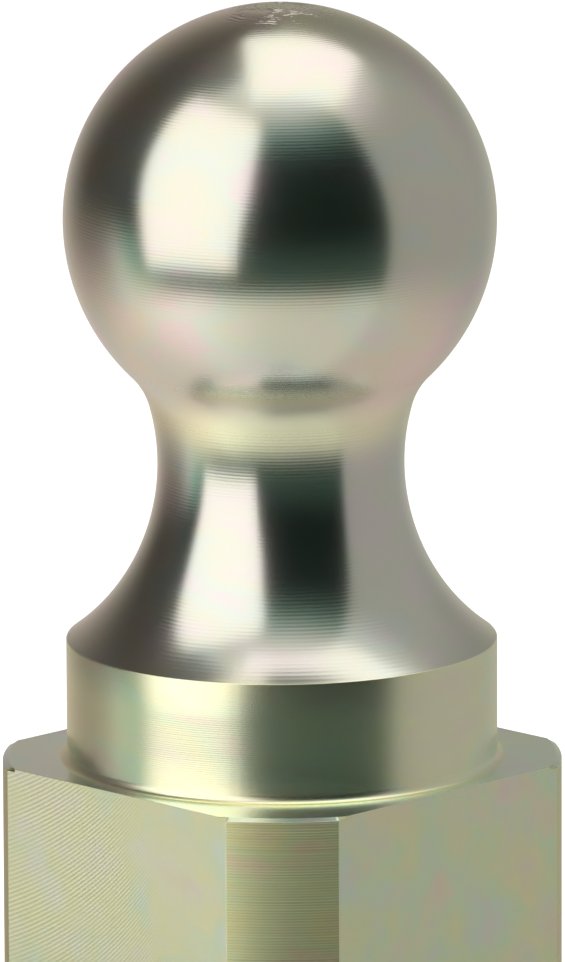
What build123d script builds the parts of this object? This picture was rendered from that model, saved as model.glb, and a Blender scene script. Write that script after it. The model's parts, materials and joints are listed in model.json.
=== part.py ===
from build123d import *
import os
from math import sqrt

# Turnover gooseneck hitch: a ball with a square shank in an under-bed receiver head, with a spring
# latch and two safety-chain anchors. Sizes are millimetres.
# Frame: origin at the centre of the four mounting holes on the plate's underside, +Z up,
# +Y along the latch towards its handle.

# ---- driving dimensions ----------------------------------------------------------------------
# ball unit, heights measured up from the shank's top face
BALL_D = 58.74
BALL_RISE = 74.3
BALL_FLAT_D = 9.0
NECK_D = 33.55
NECK_RISE = 40.8
NECK_BLEND_R = 10.0
NECK_FLARE_R = 29.9
COLLAR_D = 58.65
COLLAR_FILLET_R = 1.2
SHANK_W = 63.5
SHANK_TURN_D = 76.2
SHANK_L = 127.0
SHANK_TOP_BREAK_H = 0.4
SHANK_TOP_BREAK_W = 0.8
SHANK_END_BREAK = 2.0
LATCH_HOLE_D = 20.6
POCKET_D = 42.0
POCKET_DEPTH = 21.0
LIFT_PIN_D = 9.5
LIFT_PIN_L = 56.0

# receiver head
TUBE_W = 88.9
TUBE_BORE_W = 64.1
TUBE_CORNER_R = 16.0
TUBE_BORE_CORNER_R = 4.0
TUBE_BELOW_SHANK_TOP = 40.0
SEAT_W = 104.0
SEAT_T = 9.5
SEAT_HOLE_D = 60.6
PLATE_X = 290.0
PLATE_Y = 190.0
PLATE_T = 9.5
PLATE_CORNER_R = 14.0
FIT_UP_GAP = 0.2
BOLT_SPACING_X = 250.0
BOLT_SPACING_Y = 150.0
BOLT_HOLE_D = 14.0
GUSSET_T = 8.0
GUSSET_Y = 22.0
GUSSET_REACH = 40.0
GUSSET_TOP = 50.0
GUSSET_COPE = 8.0
TUBE_WELD = 5.0
SEAT_WELD = 6.0
SMALL_WELD = 4.0

# latch, distances measured along +Y from the ball's axis
LATCH_Z = 36.0
LATCH_TRAVEL = 38.0
LATCH_PIN_D = 19.05
LATCH_PIN_NOSE = 33.2
GUIDE_OD = 34.0
GUIDE_BORE_D = 19.21
GUIDE_L = 12.0
SHOULDER_D = 26.0
SHOULDER_T = 5.0
ROD_D = 10.0
ROD_BORE_D = 10.16
ARM_T = 8.0
ARM_H = 32.0
ARM_GAP = 38.0
BLOCK_Y = 126.0
BLOCK_L = 24.0
BLOCK_SCREW_D = 6.0
BLOCK_SCREW_Z = 9.5
DETENT_D = 10.0
NOSE_D = 5.0
DETENT_TRAVEL = 1.2
SPRING_WASHER_T = 2.0
LATCH_SPRING_OD = 25.6
LATCH_SPRING_WIRE = 2.2
LATCH_SPRING_TURNS = 7.0
GRIP_Y = 191.0
GRIP_W = 98.0
GRIP_D = 24.0

# safety-chain anchors
CHAIN_X = 105.0
CHAIN_LEG_Y = 28.0
CHAIN_ROD_D = 12.7
CHAIN_HOLE_D = 14.3
CHAIN_BEND_Z = 81.5
CHAIN_SPRING_L = 60.0
CHAIN_SPRING_OD = 22.4
CHAIN_SPRING_WIRE = 3.0
CHAIN_SPRING_TURNS = 7.0
CHAIN_WASHER_D = 27.0
CHAIN_WASHER_T = 2.5
CHAIN_NUT_AF = 19.0
CHAIN_NUT_H = 13.0
CHAIN_TAIL = 6.0

# ---- derived levels --------------------------------------------------------------------------
SHANK_TOP = LATCH_Z + SHANK_L / 2
SHANK_END = SHANK_TOP - SHANK_L
TUBE_TOP = SHANK_TOP - TUBE_BELOW_SHANK_TOP
TUBE_H = TUBE_TOP - SHANK_END
WALL_Y = TUBE_W / 2
GUIDE_END = WALL_Y + GUIDE_L
SHOULDER_Y = GUIDE_END + 0.3 + LATCH_TRAVEL
SHOULDER_END = SHOULDER_Y + SHOULDER_T
WASHER_Y = BLOCK_Y - SPRING_WASHER_T
DETENT_Y = BLOCK_Y + BLOCK_L / 2
CHAIN_NUT_Z = -CHAIN_SPRING_L - CHAIN_WASHER_T - CHAIN_NUT_H
LATCH_AXIS = Plane(origin=(0, 0, LATCH_Z), x_dir=(1, 0, 0), z_dir=(0, 1, 0))


# ---- helpers ---------------------------------------------------------------------------------
def rod(radius, start, length):
    """A cylinder standing on z = start."""
    return Pos(0, 0, start) * Cylinder(radius, length, align=(Align.CENTER, Align.CENTER, Align.MIN))


def along_latch(shape):
    """Turn a shape built up +Z so that it runs along the latch's axis."""
    return LATCH_AXIS * shape


def rounded_bar(width_x, width_y, corner, start, height):
    """A bar of rounded rectangular section standing on z = start."""
    return Pos(0, 0, start) * extrude(RectangleRounded(width_x, width_y, corner), height)


def hexagon(across_flats, start, height):
    """A nut blank standing on z = start, its outer corners turned off."""
    blank = Pos(0, 0, start) * extrude(RegularPolygon(across_flats / 2, 6, major_radius=False), height)
    envelope = rod(across_flats * 0.57, start, height)
    return blank & chamfer(envelope.edges(), height * 0.08)


def ring(outer, inner, start, height):
    """A washer standing on z = start."""
    return rod(outer, start, height) - rod(inner, start, height)


def coil_spring(outer_d, wire_d, turns, length):
    """A coil spring from z = 0 to z = length, its ends ground flat."""
    mean_r = (outer_d - wire_d) / 2
    pitch = length / turns
    path = Pos(0, 0, -pitch / 4) * Helix(pitch, length + pitch / 2, mean_r)
    section = Plane(origin=path @ 0, z_dir=path % 0) * Circle(wire_d / 2)
    coil = sweep(section, path=path, is_frenet=True)
    return coil & rod(outer_d, 0, length)


def arc_about(centre, start, end):
    """The shorter arc from start to end about a centre."""
    radius = (start - centre).length
    middle = centre + ((start + end) * 0.5 - centre).normalized() * radius
    return ThreePointArc(start, middle, end)


def group(*shapes):
    """Separate solids that share one node."""
    solids = []
    for shape in shapes:
        solids.extend(shape.solids())
    return Compound(children=solids)


def mirrored_pair(shape, plane):
    return group(shape, mirror(shape, about=plane))


# ---- ball unit -------------------------------------------------------------------------------
def blend_centre(ball, flare):
    """Centre of the blend that touches the ball outside and the flare's hollow inside."""
    reach_ball = BALL_D / 2 + NECK_BLEND_R
    reach_flare = NECK_FLARE_R - NECK_BLEND_R
    span = flare - ball
    gap = span.length
    along = (reach_ball**2 - reach_flare**2 + gap**2) / (2 * gap)
    aside = sqrt(reach_ball**2 - along**2)
    step = span.normalized()
    return ball + step * along + Vector(step.Y, -step.X) * aside


def turned_head():
    """Ball, neck and collar as turned about the Z axis."""
    ball = Vector(0, SHANK_TOP + BALL_RISE)
    flare = Vector(NECK_D / 2 + NECK_FLARE_R, SHANK_TOP + NECK_RISE)
    blend = blend_centre(ball, flare)
    ball_end = ball + (blend - ball).normalized() * (BALL_D / 2)
    blend_end = flare + (blend - flare).normalized() * NECK_FLARE_R
    collar_r = COLLAR_D / 2
    flat_r = BALL_FLAT_D / 2
    flat_z = ball.Y + sqrt((BALL_D / 2) ** 2 - flat_r**2)
    collar_top = flare.Y - sqrt(NECK_FLARE_R**2 - (flare.X - collar_r) ** 2)
    flat_edge = Vector(flat_r, flat_z)
    flat_centre = Vector(0, flat_z)
    equator = ball + Vector(BALL_D / 2, 0)
    collar_edge = Vector(collar_r, collar_top)
    foot = Vector(collar_r, SHANK_TOP + COLLAR_FILLET_R)
    foot_centre = foot + Vector(COLLAR_FILLET_R, 0)
    foot_end = Vector(collar_r + COLLAR_FILLET_R, SHANK_TOP)
    root_end = Vector(collar_r + COLLAR_FILLET_R, SHANK_TOP - 5)
    root = Vector(0, SHANK_TOP - 5)
    outline = [
        Line(flat_centre, flat_edge),
        arc_about(ball, flat_edge, equator),
        arc_about(ball, equator, ball_end),
        arc_about(blend, ball_end, blend_end),
        arc_about(flare, blend_end, collar_edge),
        Line(collar_edge, foot),
        arc_about(foot_centre, foot, foot_end),
        Line(foot_end, root_end),
        Line(root_end, root),
        Line(root, flat_centre),
    ]
    half_section = Plane.XZ * make_face(outline)
    return revolve(half_section, Axis.Z)


def hitch_ball():
    turned = rod(SHANK_TURN_D / 2, SHANK_END, SHANK_L - SHANK_TOP_BREAK_H)
    turned += Pos(0, 0, SHANK_TOP - SHANK_TOP_BREAK_H / 2) * Cone(
        SHANK_TURN_D / 2, SHANK_TURN_D / 2 - SHANK_TOP_BREAK_W, SHANK_TOP_BREAK_H)
    turned = chamfer(turned.edges().sort_by(Axis.Z)[0], SHANK_END_BREAK)
    shank = turned & Pos(0, 0, SHANK_TOP - SHANK_L / 2) * Box(SHANK_W, SHANK_W, SHANK_L)
    body = shank + turned_head()
    latch_hole = along_latch(rod(LATCH_HOLE_D / 2, -SHANK_W, 2 * SHANK_W))
    mouth = Cone(LATCH_HOLE_D / 2 + 3, LATCH_HOLE_D / 2 - 1, 4)
    mouths = [along_latch(Pos(0, 0, side * (SHANK_W / 2 - 0.5)) * Rot(flip, 0, 0) * mouth)
              for side, flip in ((1, 180), (-1, 0))]
    pocket = rod(POCKET_D / 2, SHANK_END, POCKET_DEPTH)
    pocket = fillet(pocket.edges().sort_by(Axis.Z)[-1], 3)
    pin_hole = Pos(0, 0, SHANK_END + POCKET_DEPTH / 2) * Rot(0, 90, 0) * Cylinder(LIFT_PIN_D / 2, 80)
    return body - latch_hole - mouths - pocket - pin_hole


def lift_pin():
    """The cross pin that a hand grips to draw out the stored ball."""
    pin = chamfer(Cylinder(LIFT_PIN_D / 2, LIFT_PIN_L).edges(), 0.8)
    return Pos(0, 0, SHANK_END + POCKET_DEPTH / 2) * Rot(0, 90, 0) * pin


# ---- receiver head ---------------------------------------------------------------------------
def receiver_tube():
    tube = rounded_bar(TUBE_W, TUBE_W, TUBE_CORNER_R, SHANK_END, TUBE_H)
    bore = rounded_bar(TUBE_BORE_W, TUBE_BORE_W, TUBE_BORE_CORNER_R, SHANK_END, TUBE_H)
    lead_in = Pos(0, 0, TUBE_TOP - 3) * extrude(
        RectangleRounded(TUBE_BORE_W, TUBE_BORE_W, TUBE_BORE_CORNER_R), 3.01, taper=-30)
    pin_hole = along_latch(rod(LATCH_HOLE_D / 2, 0, TUBE_W))
    return tube - bore - lead_in - pin_hole


def seat_plate():
    plate = rounded_bar(SEAT_W, SEAT_W, TUBE_CORNER_R, SHANK_END - SEAT_T, SEAT_T)
    plate = chamfer(plate.edges().group_by(Axis.Z)[0], 1)
    hole = rod(SEAT_HOLE_D / 2, SHANK_END - SEAT_T, SEAT_T)
    flare = Pos(0, 0, SHANK_END - SEAT_T + 1) * Cone(SEAT_HOLE_D / 2 + 2, SEAT_HOLE_D / 2, 2)
    return plate - hole - flare


def at_corners(shape, spacing_x, spacing_y):
    return [Pos(x, y, 0) * shape
            for x in (-spacing_x / 2, spacing_x / 2) for y in (-spacing_y / 2, spacing_y / 2)]


def mount_plate():
    plate = rounded_bar(PLATE_X, PLATE_Y, PLATE_CORNER_R, 0, PLATE_T)
    plate = chamfer(plate.edges().group_by(Axis.Z)[-1], 0.8)
    opening = rounded_bar(TUBE_W + 2 * FIT_UP_GAP, TUBE_W + 2 * FIT_UP_GAP,
                          TUBE_CORNER_R + FIT_UP_GAP, 0, PLATE_T)
    bolt_holes = at_corners(rod(BOLT_HOLE_D / 2, 0, PLATE_T), BOLT_SPACING_X, BOLT_SPACING_Y)
    leg_holes = at_corners(rod(CHAIN_HOLE_D / 2, 0, PLATE_T), 2 * CHAIN_X, 2 * CHAIN_LEG_Y)
    return plate - opening - bolt_holes - leg_holes


def gussets():
    """Four ribs between the tube's sides and the plate, coped to clear the tube's weld."""
    near = TUBE_W / 2
    far = near + GUSSET_REACH
    outline = [(near + GUSSET_COPE, PLATE_T), (far, PLATE_T), (far, PLATE_T + 6),
               (near + 6, GUSSET_TOP), (near, GUSSET_TOP), (near, PLATE_T + GUSSET_COPE)]
    rib = extrude(Plane.XZ * make_face(Polyline(*outline, close=True)), GUSSET_T / 2, both=True)
    right = group(Pos(0, GUSSET_Y, 0) * rib, Pos(0, -GUSSET_Y, 0) * rib)
    return mirrored_pair(right, Plane.YZ)


def fillet_ring(size, foot_z, leg):
    """A fillet weld around the tube, standing on a plate's top face."""
    bead = Pos(0, 0, foot_z) * extrude(
        RectangleRounded(size + 2 * leg, size + 2 * leg, TUBE_CORNER_R + leg), leg, taper=45)
    return bead - rounded_bar(size, size, TUBE_CORNER_R, foot_z - 1, leg + 2)


def tube_weld():
    """Weld around the tube, on top of the plate and underneath it."""
    above = fillet_ring(TUBE_W, PLATE_T, TUBE_WELD)
    below = mirror(fillet_ring(TUBE_W, 0, TUBE_WELD), about=Plane.XY)
    return group(above, below)


def seat_weld():
    return fillet_ring(TUBE_W, SHANK_END, SEAT_WELD)


def bead(length, leg):
    """A straight fillet weld along +X, its legs along +Y and +Z."""
    triangle = make_face(Polyline((0, 0), (leg, 0), (0, leg), close=True))
    return extrude(Plane.YZ * triangle, length)


def gusset_welds():
    """Beads on both sides of every rib, along the plate and up the tube."""
    inset = TUBE_W / 2 + GUSSET_COPE + 1
    flat = Pos(inset, GUSSET_T / 2, PLATE_T) * bead(GUSSET_REACH - GUSSET_COPE - 2, SMALL_WELD)
    rise_foot = PLATE_T + GUSSET_COPE + 1
    upright = Pos(TUBE_W / 2, GUSSET_T / 2, rise_foot) * Rot(0, -90, 0) * mirror(
        bead(GUSSET_TOP - rise_foot - 1, SMALL_WELD), about=Plane.XY)
    one_side = group(flat, upright)
    rib = mirrored_pair(one_side, Plane.XZ)
    right = group(Pos(0, GUSSET_Y, 0) * rib, Pos(0, -GUSSET_Y, 0) * rib)
    return mirrored_pair(right, Plane.YZ)


# ---- latch -----------------------------------------------------------------------------------
def guide_boss():
    boss = rod(GUIDE_OD / 2, WALL_Y, GUIDE_L)
    boss = chamfer(boss.edges().sort_by(Axis.Z)[-1], 1)
    return along_latch(boss - rod(GUIDE_BORE_D / 2, WALL_Y, GUIDE_L))


def boss_weld():
    cone = Pos(0, 0, WALL_Y + SMALL_WELD / 2) * Cone(
        GUIDE_OD / 2 + SMALL_WELD, GUIDE_OD / 2, SMALL_WELD)
    trimmed = cone & Box(ARM_GAP, 3 * GUIDE_OD, 3 * WALL_Y)
    return along_latch(trimmed - rod(GUIDE_OD / 2, WALL_Y, SMALL_WELD))


def block_screw_seats():
    """Where the block's screws enter the right arm, as offsets along Z."""
    return (LATCH_Z - BLOCK_SCREW_Z, LATCH_Z + BLOCK_SCREW_Z)


def latch_arms():
    """Two flat bars that carry the latch's end block."""
    reach = BLOCK_Y + BLOCK_L - WALL_Y
    arm = Pos(ARM_GAP / 2 + ARM_T / 2, WALL_Y + reach / 2, LATCH_Z) * Box(ARM_T, reach, ARM_H)
    outer_end = arm.edges().filter_by(Axis.X).group_by(Axis.Y)[-1]
    arm = fillet(outer_end, 6)
    for z in block_screw_seats():
        arm -= Pos(ARM_GAP / 2, DETENT_Y, z) * Rot(0, 90, 0) * Cylinder(BLOCK_SCREW_D / 2 + 0.3, 40)
    return mirrored_pair(arm, Plane.YZ)


def arm_welds():
    """Beads along the outer faces of the arms, where they meet the tube."""
    upright = Pos(ARM_GAP / 2 + ARM_T, WALL_Y, LATCH_Z - ARM_H / 2 + 1) * Rot(0, -90, 0) * Rot(
        180, 0, 0) * mirror(bead(ARM_H - 2, SMALL_WELD * 0.9), about=Plane.XZ)
    return mirrored_pair(upright, Plane.YZ)


def latch_block():
    """End block with the rod's bore, the detent's hole and four tapped holes."""
    block = Pos(0, BLOCK_Y + BLOCK_L / 2, LATCH_Z) * Box(ARM_GAP - 0.1, BLOCK_L, ARM_H)
    block = chamfer(block.edges().filter_by(Axis.X), 1)
    bore = along_latch(rod(ROD_BORE_D / 2, BLOCK_Y, BLOCK_L))
    detent_hole = Pos(0, DETENT_Y, LATCH_Z) * rod(DETENT_D / 2, 8, ARM_H)
    nose_hole = Pos(0, DETENT_Y, LATCH_Z) * rod(NOSE_D / 2 + 0.08, 0, ARM_H)
    block = block - bore - detent_hole - nose_hole
    for z in block_screw_seats():
        for side in (-1, 1):
            centre = side * (ARM_GAP / 2 - 5.5)
            block -= Pos(centre, DETENT_Y, z) * Rot(0, 90, 0) * Cylinder(BLOCK_SCREW_D / 2, 11.2)
    return block


def block_screws():
    """Four socket screws through the arms into the block."""
    head = chamfer(rod(5, 0, 6).edges().sort_by(Axis.Z)[-1], 0.6)
    socket = extrude(RegularPolygon(2.5, 6, major_radius=False), 3)
    screw = head - Pos(0, 0, 3) * socket + rod(BLOCK_SCREW_D / 2, -ARM_T - 10, ARM_T + 10)
    right = group(*[Pos(ARM_GAP / 2 + ARM_T, DETENT_Y, z) * Rot(0, 90, 0) * screw
                    for z in block_screw_seats()])
    return mirrored_pair(right, Plane.YZ)


def detent_body():
    """Threaded sleeve of the spring plunger, bored for its nose and inner spring."""
    sleeve = rod(DETENT_D / 2, 8, ARM_H / 2 - 8) + hexagon(14, ARM_H / 2, 6)
    sleeve -= rod(NOSE_D / 2 + 0.05, 0, 18)
    return Pos(0, DETENT_Y, LATCH_Z) * sleeve


def detent_nose():
    """Round-ended plunger that drops into the rod's grooves."""
    tip = ROD_D / 2 + 0.05
    nose = rod(NOSE_D / 2, tip + NOSE_D / 2, 8) + Pos(0, 0, tip + NOSE_D / 2) * Sphere(NOSE_D / 2)
    return Pos(0, DETENT_Y, LATCH_Z) * nose


def latch_pin():
    nose = LATCH_PIN_NOSE
    pin = rod(LATCH_PIN_D / 2, nose, SHOULDER_END - nose)
    pin = chamfer(pin.edges().sort_by(Axis.Z)[0], length=4, length2=2.2)
    shoulder = rod(SHOULDER_D / 2, SHOULDER_Y, SHOULDER_T)
    shoulder = chamfer(shoulder.edges(), 0.5)
    tapped = rod(ROD_D / 2, SHOULDER_END - 20, 20)
    return along_latch(pin + shoulder - tapped)


def latch_rod():
    """Pull rod with two detent grooves, one for open and one for latched."""
    start = SHOULDER_END - 19
    end = GRIP_Y + 33
    shaft = chamfer(rod(ROD_D / 2, start, end - start).edges(), 0.8)
    groove = Torus(ROD_D / 2 + NOSE_D / 2 + 0.2 - DETENT_TRAVEL - 0.15, NOSE_D / 2 + 0.2)
    for y in (DETENT_Y, DETENT_Y + LATCH_TRAVEL):
        shaft -= Pos(0, 0, y) * groove
    return along_latch(shaft)


def rod_nut():
    nut = hexagon(16, SHOULDER_END, 6) - rod(ROD_D / 2, SHOULDER_END, 6)
    return along_latch(nut)


def spring_washer():
    return along_latch(ring(14, ROD_D / 2 + 0.4, WASHER_Y, SPRING_WASHER_T))


def latch_spring():
    length = WASHER_Y - SHOULDER_END
    coil = coil_spring(LATCH_SPRING_OD, LATCH_SPRING_WIRE, LATCH_SPRING_TURNS, length)
    return along_latch(Pos(0, 0, SHOULDER_END) * coil)


def handle_grip():
    """Moulded T grip with a tapered hub and finger waists."""
    bar_y = GRIP_Y + 14
    half = GRIP_W / 2 - GRIP_D / 2
    bar = Rot(0, 90, 0) * Cylinder(GRIP_D / 2, 2 * half)
    ends = [Pos(side * half, 0, 0) * Sphere(GRIP_D / 2) for side in (-1, 1)]
    waist = Rot(0, 90, 0) * Torus(GRIP_D / 2 + 27, 30)
    hub = Pos(0, 0, -9) * Cone(10, 13, 10)
    flat = Pos(0, 0, 20) * Box(22, 40, 20)
    grip = bar + ends - [Pos(x, 0, 0) * waist for x in (-24, 24)]
    grip = grip + hub + Pos(0, 0, 0) * Cylinder(13, 20) - flat
    grip -= Cylinder(ROD_D / 2 + 0.02, 60)
    return along_latch(Pos(0, 0, bar_y) * grip)


def grip_nut():
    """Domed nut that holds the grip on the rod."""
    seat = GRIP_Y + 24
    dome = Pos(0, 0, seat + 6) * Sphere(7) & rod(7, seat + 6, 8)
    nut = hexagon(16, seat, 6.5) + dome
    return along_latch(nut - rod(ROD_D / 2, seat, 9.2))


# ---- safety-chain anchors --------------------------------------------------------------------
def per_leg(shape, side):
    """One copy of a shape on each leg of the anchor at side * CHAIN_X."""
    return group(*[Pos(side * CHAIN_X, y, 0) * shape for y in (-CHAIN_LEG_Y, CHAIN_LEG_Y)])


def u_bolt(side):
    foot = CHAIN_NUT_Z - CHAIN_TAIL
    leg = rod(CHAIN_ROD_D / 2, foot, CHAIN_BEND_Z - foot)
    leg = chamfer(leg.edges().sort_by(Axis.Z)[0], 1)
    crown = Rot(0, 90, 0) * Torus(CHAIN_LEG_Y, CHAIN_ROD_D / 2)
    crown &= Pos(0, 0, 50) * Box(100, 100, 100)
    bolt = Pos(0, 0, CHAIN_BEND_Z) * crown
    for y in (-CHAIN_LEG_Y, CHAIN_LEG_Y):
        bolt += Pos(0, y, 0) * leg
    return Pos(side * CHAIN_X, 0, 0) * bolt


def chain_springs(side):
    coil = coil_spring(CHAIN_SPRING_OD, CHAIN_SPRING_WIRE, CHAIN_SPRING_TURNS, CHAIN_SPRING_L)
    return per_leg(Pos(0, 0, -CHAIN_SPRING_L) * coil, side)


def chain_washers(side):
    foot = -CHAIN_SPRING_L - CHAIN_WASHER_T
    return per_leg(ring(CHAIN_WASHER_D / 2, CHAIN_ROD_D / 2 + 0.3, foot, CHAIN_WASHER_T), side)


def chain_nuts(side):
    """Lock nuts: a hexagon with a plain collar underneath that holds the nylon ring."""
    collar_h = 4
    body = hexagon(CHAIN_NUT_AF, CHAIN_NUT_Z + collar_h, CHAIN_NUT_H - collar_h)
    collar = chamfer(rod(8.8, CHAIN_NUT_Z, collar_h).edges().sort_by(Axis.Z)[0], 1)
    nut = body + collar - rod(CHAIN_ROD_D / 2, CHAIN_NUT_Z, CHAIN_NUT_H)
    return per_leg(nut, side)


# ---- export ----------------------------------------------------------------------------------
NODES = {
    "hitch_ball": hitch_ball(),
    "lift_pin": lift_pin(),
    "receiver_tube": receiver_tube(),
    "seat_plate": seat_plate(),
    "mount_plate": mount_plate(),
    "gussets": gussets(),
    "tube_weld": tube_weld(),
    "seat_weld": seat_weld(),
    "gusset_welds": gusset_welds(),
    "guide_boss": guide_boss(),
    "boss_weld": boss_weld(),
    "latch_arms": latch_arms(),
    "arm_welds": arm_welds(),
    "latch_block": latch_block(),
    "block_screws": block_screws(),
    "detent_body": detent_body(),
    "detent_nose": detent_nose(),
    "spring_washer": spring_washer(),
    "latch_spring": latch_spring(),
    "latch_pin": latch_pin(),
    "latch_rod": latch_rod(),
    "rod_nut": rod_nut(),
    "handle_grip": handle_grip(),
    "grip_nut": grip_nut(),
}
for name, side in (("left", -1), ("right", 1)):
    NODES["u_bolt_" + name] = u_bolt(side)
    NODES["chain_springs_" + name] = chain_springs(side)
    NODES["chain_washers_" + name] = chain_washers(side)
    NODES["chain_nuts_" + name] = chain_nuts(side)

os.makedirs("parts", exist_ok=True)
for name, shape in NODES.items():
    export_step(shape, f"parts/{name}.step")
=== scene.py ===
# A gooseneck trailer hitch with its ball: finishes, detailed pieces, a studio and the photo's camera, round the
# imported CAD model. Lengths are in millimetres until they become points of a mesh, which are in metres.
import json
import math

import bmesh
import bpy
import numpy as np
from mathutils import Matrix, Vector


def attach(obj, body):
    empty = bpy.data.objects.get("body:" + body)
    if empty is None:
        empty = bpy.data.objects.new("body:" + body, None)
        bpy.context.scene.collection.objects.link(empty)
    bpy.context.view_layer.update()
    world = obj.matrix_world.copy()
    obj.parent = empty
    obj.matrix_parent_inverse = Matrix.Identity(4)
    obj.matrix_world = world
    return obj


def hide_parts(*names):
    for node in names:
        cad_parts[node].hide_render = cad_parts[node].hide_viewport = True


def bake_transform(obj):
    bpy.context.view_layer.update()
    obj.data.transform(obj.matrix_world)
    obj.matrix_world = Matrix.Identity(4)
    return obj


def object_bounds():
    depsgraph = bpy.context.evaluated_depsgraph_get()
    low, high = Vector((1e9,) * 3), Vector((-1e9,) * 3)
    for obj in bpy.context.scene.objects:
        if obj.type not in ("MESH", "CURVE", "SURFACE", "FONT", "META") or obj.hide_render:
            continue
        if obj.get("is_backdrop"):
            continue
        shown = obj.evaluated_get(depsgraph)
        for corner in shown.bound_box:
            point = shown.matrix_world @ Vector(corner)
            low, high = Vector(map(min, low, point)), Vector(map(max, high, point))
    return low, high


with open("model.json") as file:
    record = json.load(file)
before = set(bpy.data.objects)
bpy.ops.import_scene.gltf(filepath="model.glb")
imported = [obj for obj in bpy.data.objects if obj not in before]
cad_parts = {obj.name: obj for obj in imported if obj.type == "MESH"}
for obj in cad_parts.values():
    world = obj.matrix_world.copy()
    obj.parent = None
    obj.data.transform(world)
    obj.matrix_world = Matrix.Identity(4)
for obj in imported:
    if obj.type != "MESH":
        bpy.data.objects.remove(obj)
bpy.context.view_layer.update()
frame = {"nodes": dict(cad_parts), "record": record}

MM = 0.001

# Sizes shared with the CAD parts, in millimetres. Z is 0 at the mounting plate's underside.
BALL_D, BALL_RISE, BALL_FLAT_D = 58.74, 74.3, 9.0
NECK_D, NECK_RISE, BLEND_R, FLARE_R = 33.55, 40.8, 10.0, 29.9
COLLAR_D, FOOT_R = 58.65, 1.2
SHANK_W, TURN_D, SHANK_L = 63.5, 76.2, 127.0
TOP_BREAK_H, TOP_BREAK_W, END_BREAK = 0.4, 0.8, 2.0
LATCH_Z, LATCH_HOLE_D = 36.0, 20.6
POCKET_D, POCKET_DEPTH, LIFT_PIN_D = 42.0, 21.0, 9.5
TUBE_W, TUBE_CORNER_R, PLATE_T, SEAT_TOP = 88.9, 16.0, 9.5, -27.5
GUSSET_T, GUSSET_Y = 8.0, 22.0
TUBE_LEG, SEAT_LEG, SMALL_LEG, ARM_LEG = 5.0, 6.0, 4.0, 3.6       # legs of the weld beads
GUIDE_D, ARM_GAP, ARM_T, ARM_H = 34.0, 38.0, 8.0, 32.0
BLOCK_Y, BLOCK_L, BLOCK_SCREW_Z = 126.0, 24.0, 9.5
ROD_NUT_Y, WASHER_Y, GRIP_BAR_Y, GRIP_END_Y = 99.75, 124.0, 205.0, 215.0
LATCH_SPRING = (25.6, 2.2, WASHER_Y - ROD_NUT_Y, 7)                # outer diameter, wire, length, turns
CHAIN_SPRING = (22.4, 3.0, 60, 7)
CHAIN_X, CHAIN_LEG_Y, CHAIN_ROD_D, CHAIN_BEND_Z, CHAIN_FOOT_Z = 105, 28, 12.7, 81.5, -81.5
CHAIN_NUT_Z = -75.5
SHANK_TOP = LATCH_Z + SHANK_L / 2
SHANK_END = SHANK_TOP - SHANK_L
BALL_Z = SHANK_TOP + BALL_RISE
COLLAR_TOP = SHANK_TOP + 16.7
BALL_FOOT = BALL_Z - 21
PAINTED_GLOW_Z, DULL_Z = BALL_Z - 26.3, BALL_Z - 23.0     # rings where neck and ball meet: one brighter and yellower, painted light reflected from the ball's underside on a yellower film, and one duller
WALL_Y, DETENT_Y = TUBE_W / 2, BLOCK_Y + BLOCK_L / 2
ARM_IN, ARM_OUT = ARM_GAP / 2, ARM_GAP / 2 + ARM_T
ARM_FOOT, ARM_TOP = LATCH_Z - ARM_H / 2, LATCH_Z + ARM_H / 2
CHAIN_SIDES, CHAIN_LEGS = (("left", -CHAIN_X), ("right", CHAIN_X)), (-CHAIN_LEG_Y, CHAIN_LEG_Y)


# ---- mesh helpers ------------------------------------------------------------------------------
def new_object(name, vertices, faces, sharp_deg=30.0):
    mesh = bpy.data.meshes.new(name)
    mesh.from_pydata([tuple(v) for v in vertices], [], [tuple(f) for f in faces])
    mesh.validate()
    mesh.update()
    obj = bpy.data.objects.new(name, mesh)
    bpy.context.scene.collection.objects.link(obj)
    smooth(obj, sharp_deg)
    return obj


def smooth(obj, sharp_deg=30.0):
    obj.data.shade_smooth()
    obj.data.set_sharp_from_angle(angle=math.radians(sharp_deg))


def grid_faces(rings, count):
    """Quads between successive rings of the same number of points."""
    faces = []
    for i in range(rings - 1):
        for j in range(count):
            k = (j + 1) % count
            faces.append((i * count + j, i * count + k, (i + 1) * count + k, (i + 1) * count + j))
    return faces


def apply_modifiers(obj):
    depsgraph = bpy.context.evaluated_depsgraph_get()
    mesh = bpy.data.meshes.new_from_object(obj.evaluated_get(depsgraph))
    obj.modifiers.clear()
    obj.data = mesh


def cylinder_mm(radius, length, segments=128):
    verts, faces = loft([circle(radius, z, segments) for z in (-length / 2, length / 2)])
    return new_object("cutter", verts * MM, faces)


def cut(obj, cutters):
    for cutter in cutters:
        boolean = obj.modifiers.new("cut", "BOOLEAN")
        boolean.operation, boolean.solver, boolean.object = "DIFFERENCE", "EXACT", cutter
    apply_modifiers(obj)
    for cutter in cutters:
        bpy.data.objects.remove(cutter)


def bevel(obj, width_mm, segments=2, angle_deg=25.0):
    edge = obj.modifiers.new("edge", "BEVEL")
    edge.width, edge.segments = width_mm * MM, segments
    edge.limit_method, edge.angle_limit = "ANGLE", math.radians(angle_deg)
    edge.harden_normals = True


# ---- ball and shank ----------------------------------------------------------------------------
def arc_points(centre, start, end, apart=0.8):
    """Points on the shorter arc from start to end, both included, about so many mm apart."""
    centre, start, end = (np.array(p, float) for p in (centre, start, end))
    radius = np.linalg.norm(start - centre)
    a = math.atan2(*(start - centre)[::-1])
    b = math.atan2(*(end - centre)[::-1])
    turn = (b - a + math.pi) % (2 * math.pi) - math.pi
    count = max(2, math.ceil(abs(turn) * radius / apart))
    angles = a + turn * np.linspace(0, 1, count + 1)
    return [centre + radius * np.array([math.cos(t), math.sin(t)]) for t in angles]


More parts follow.
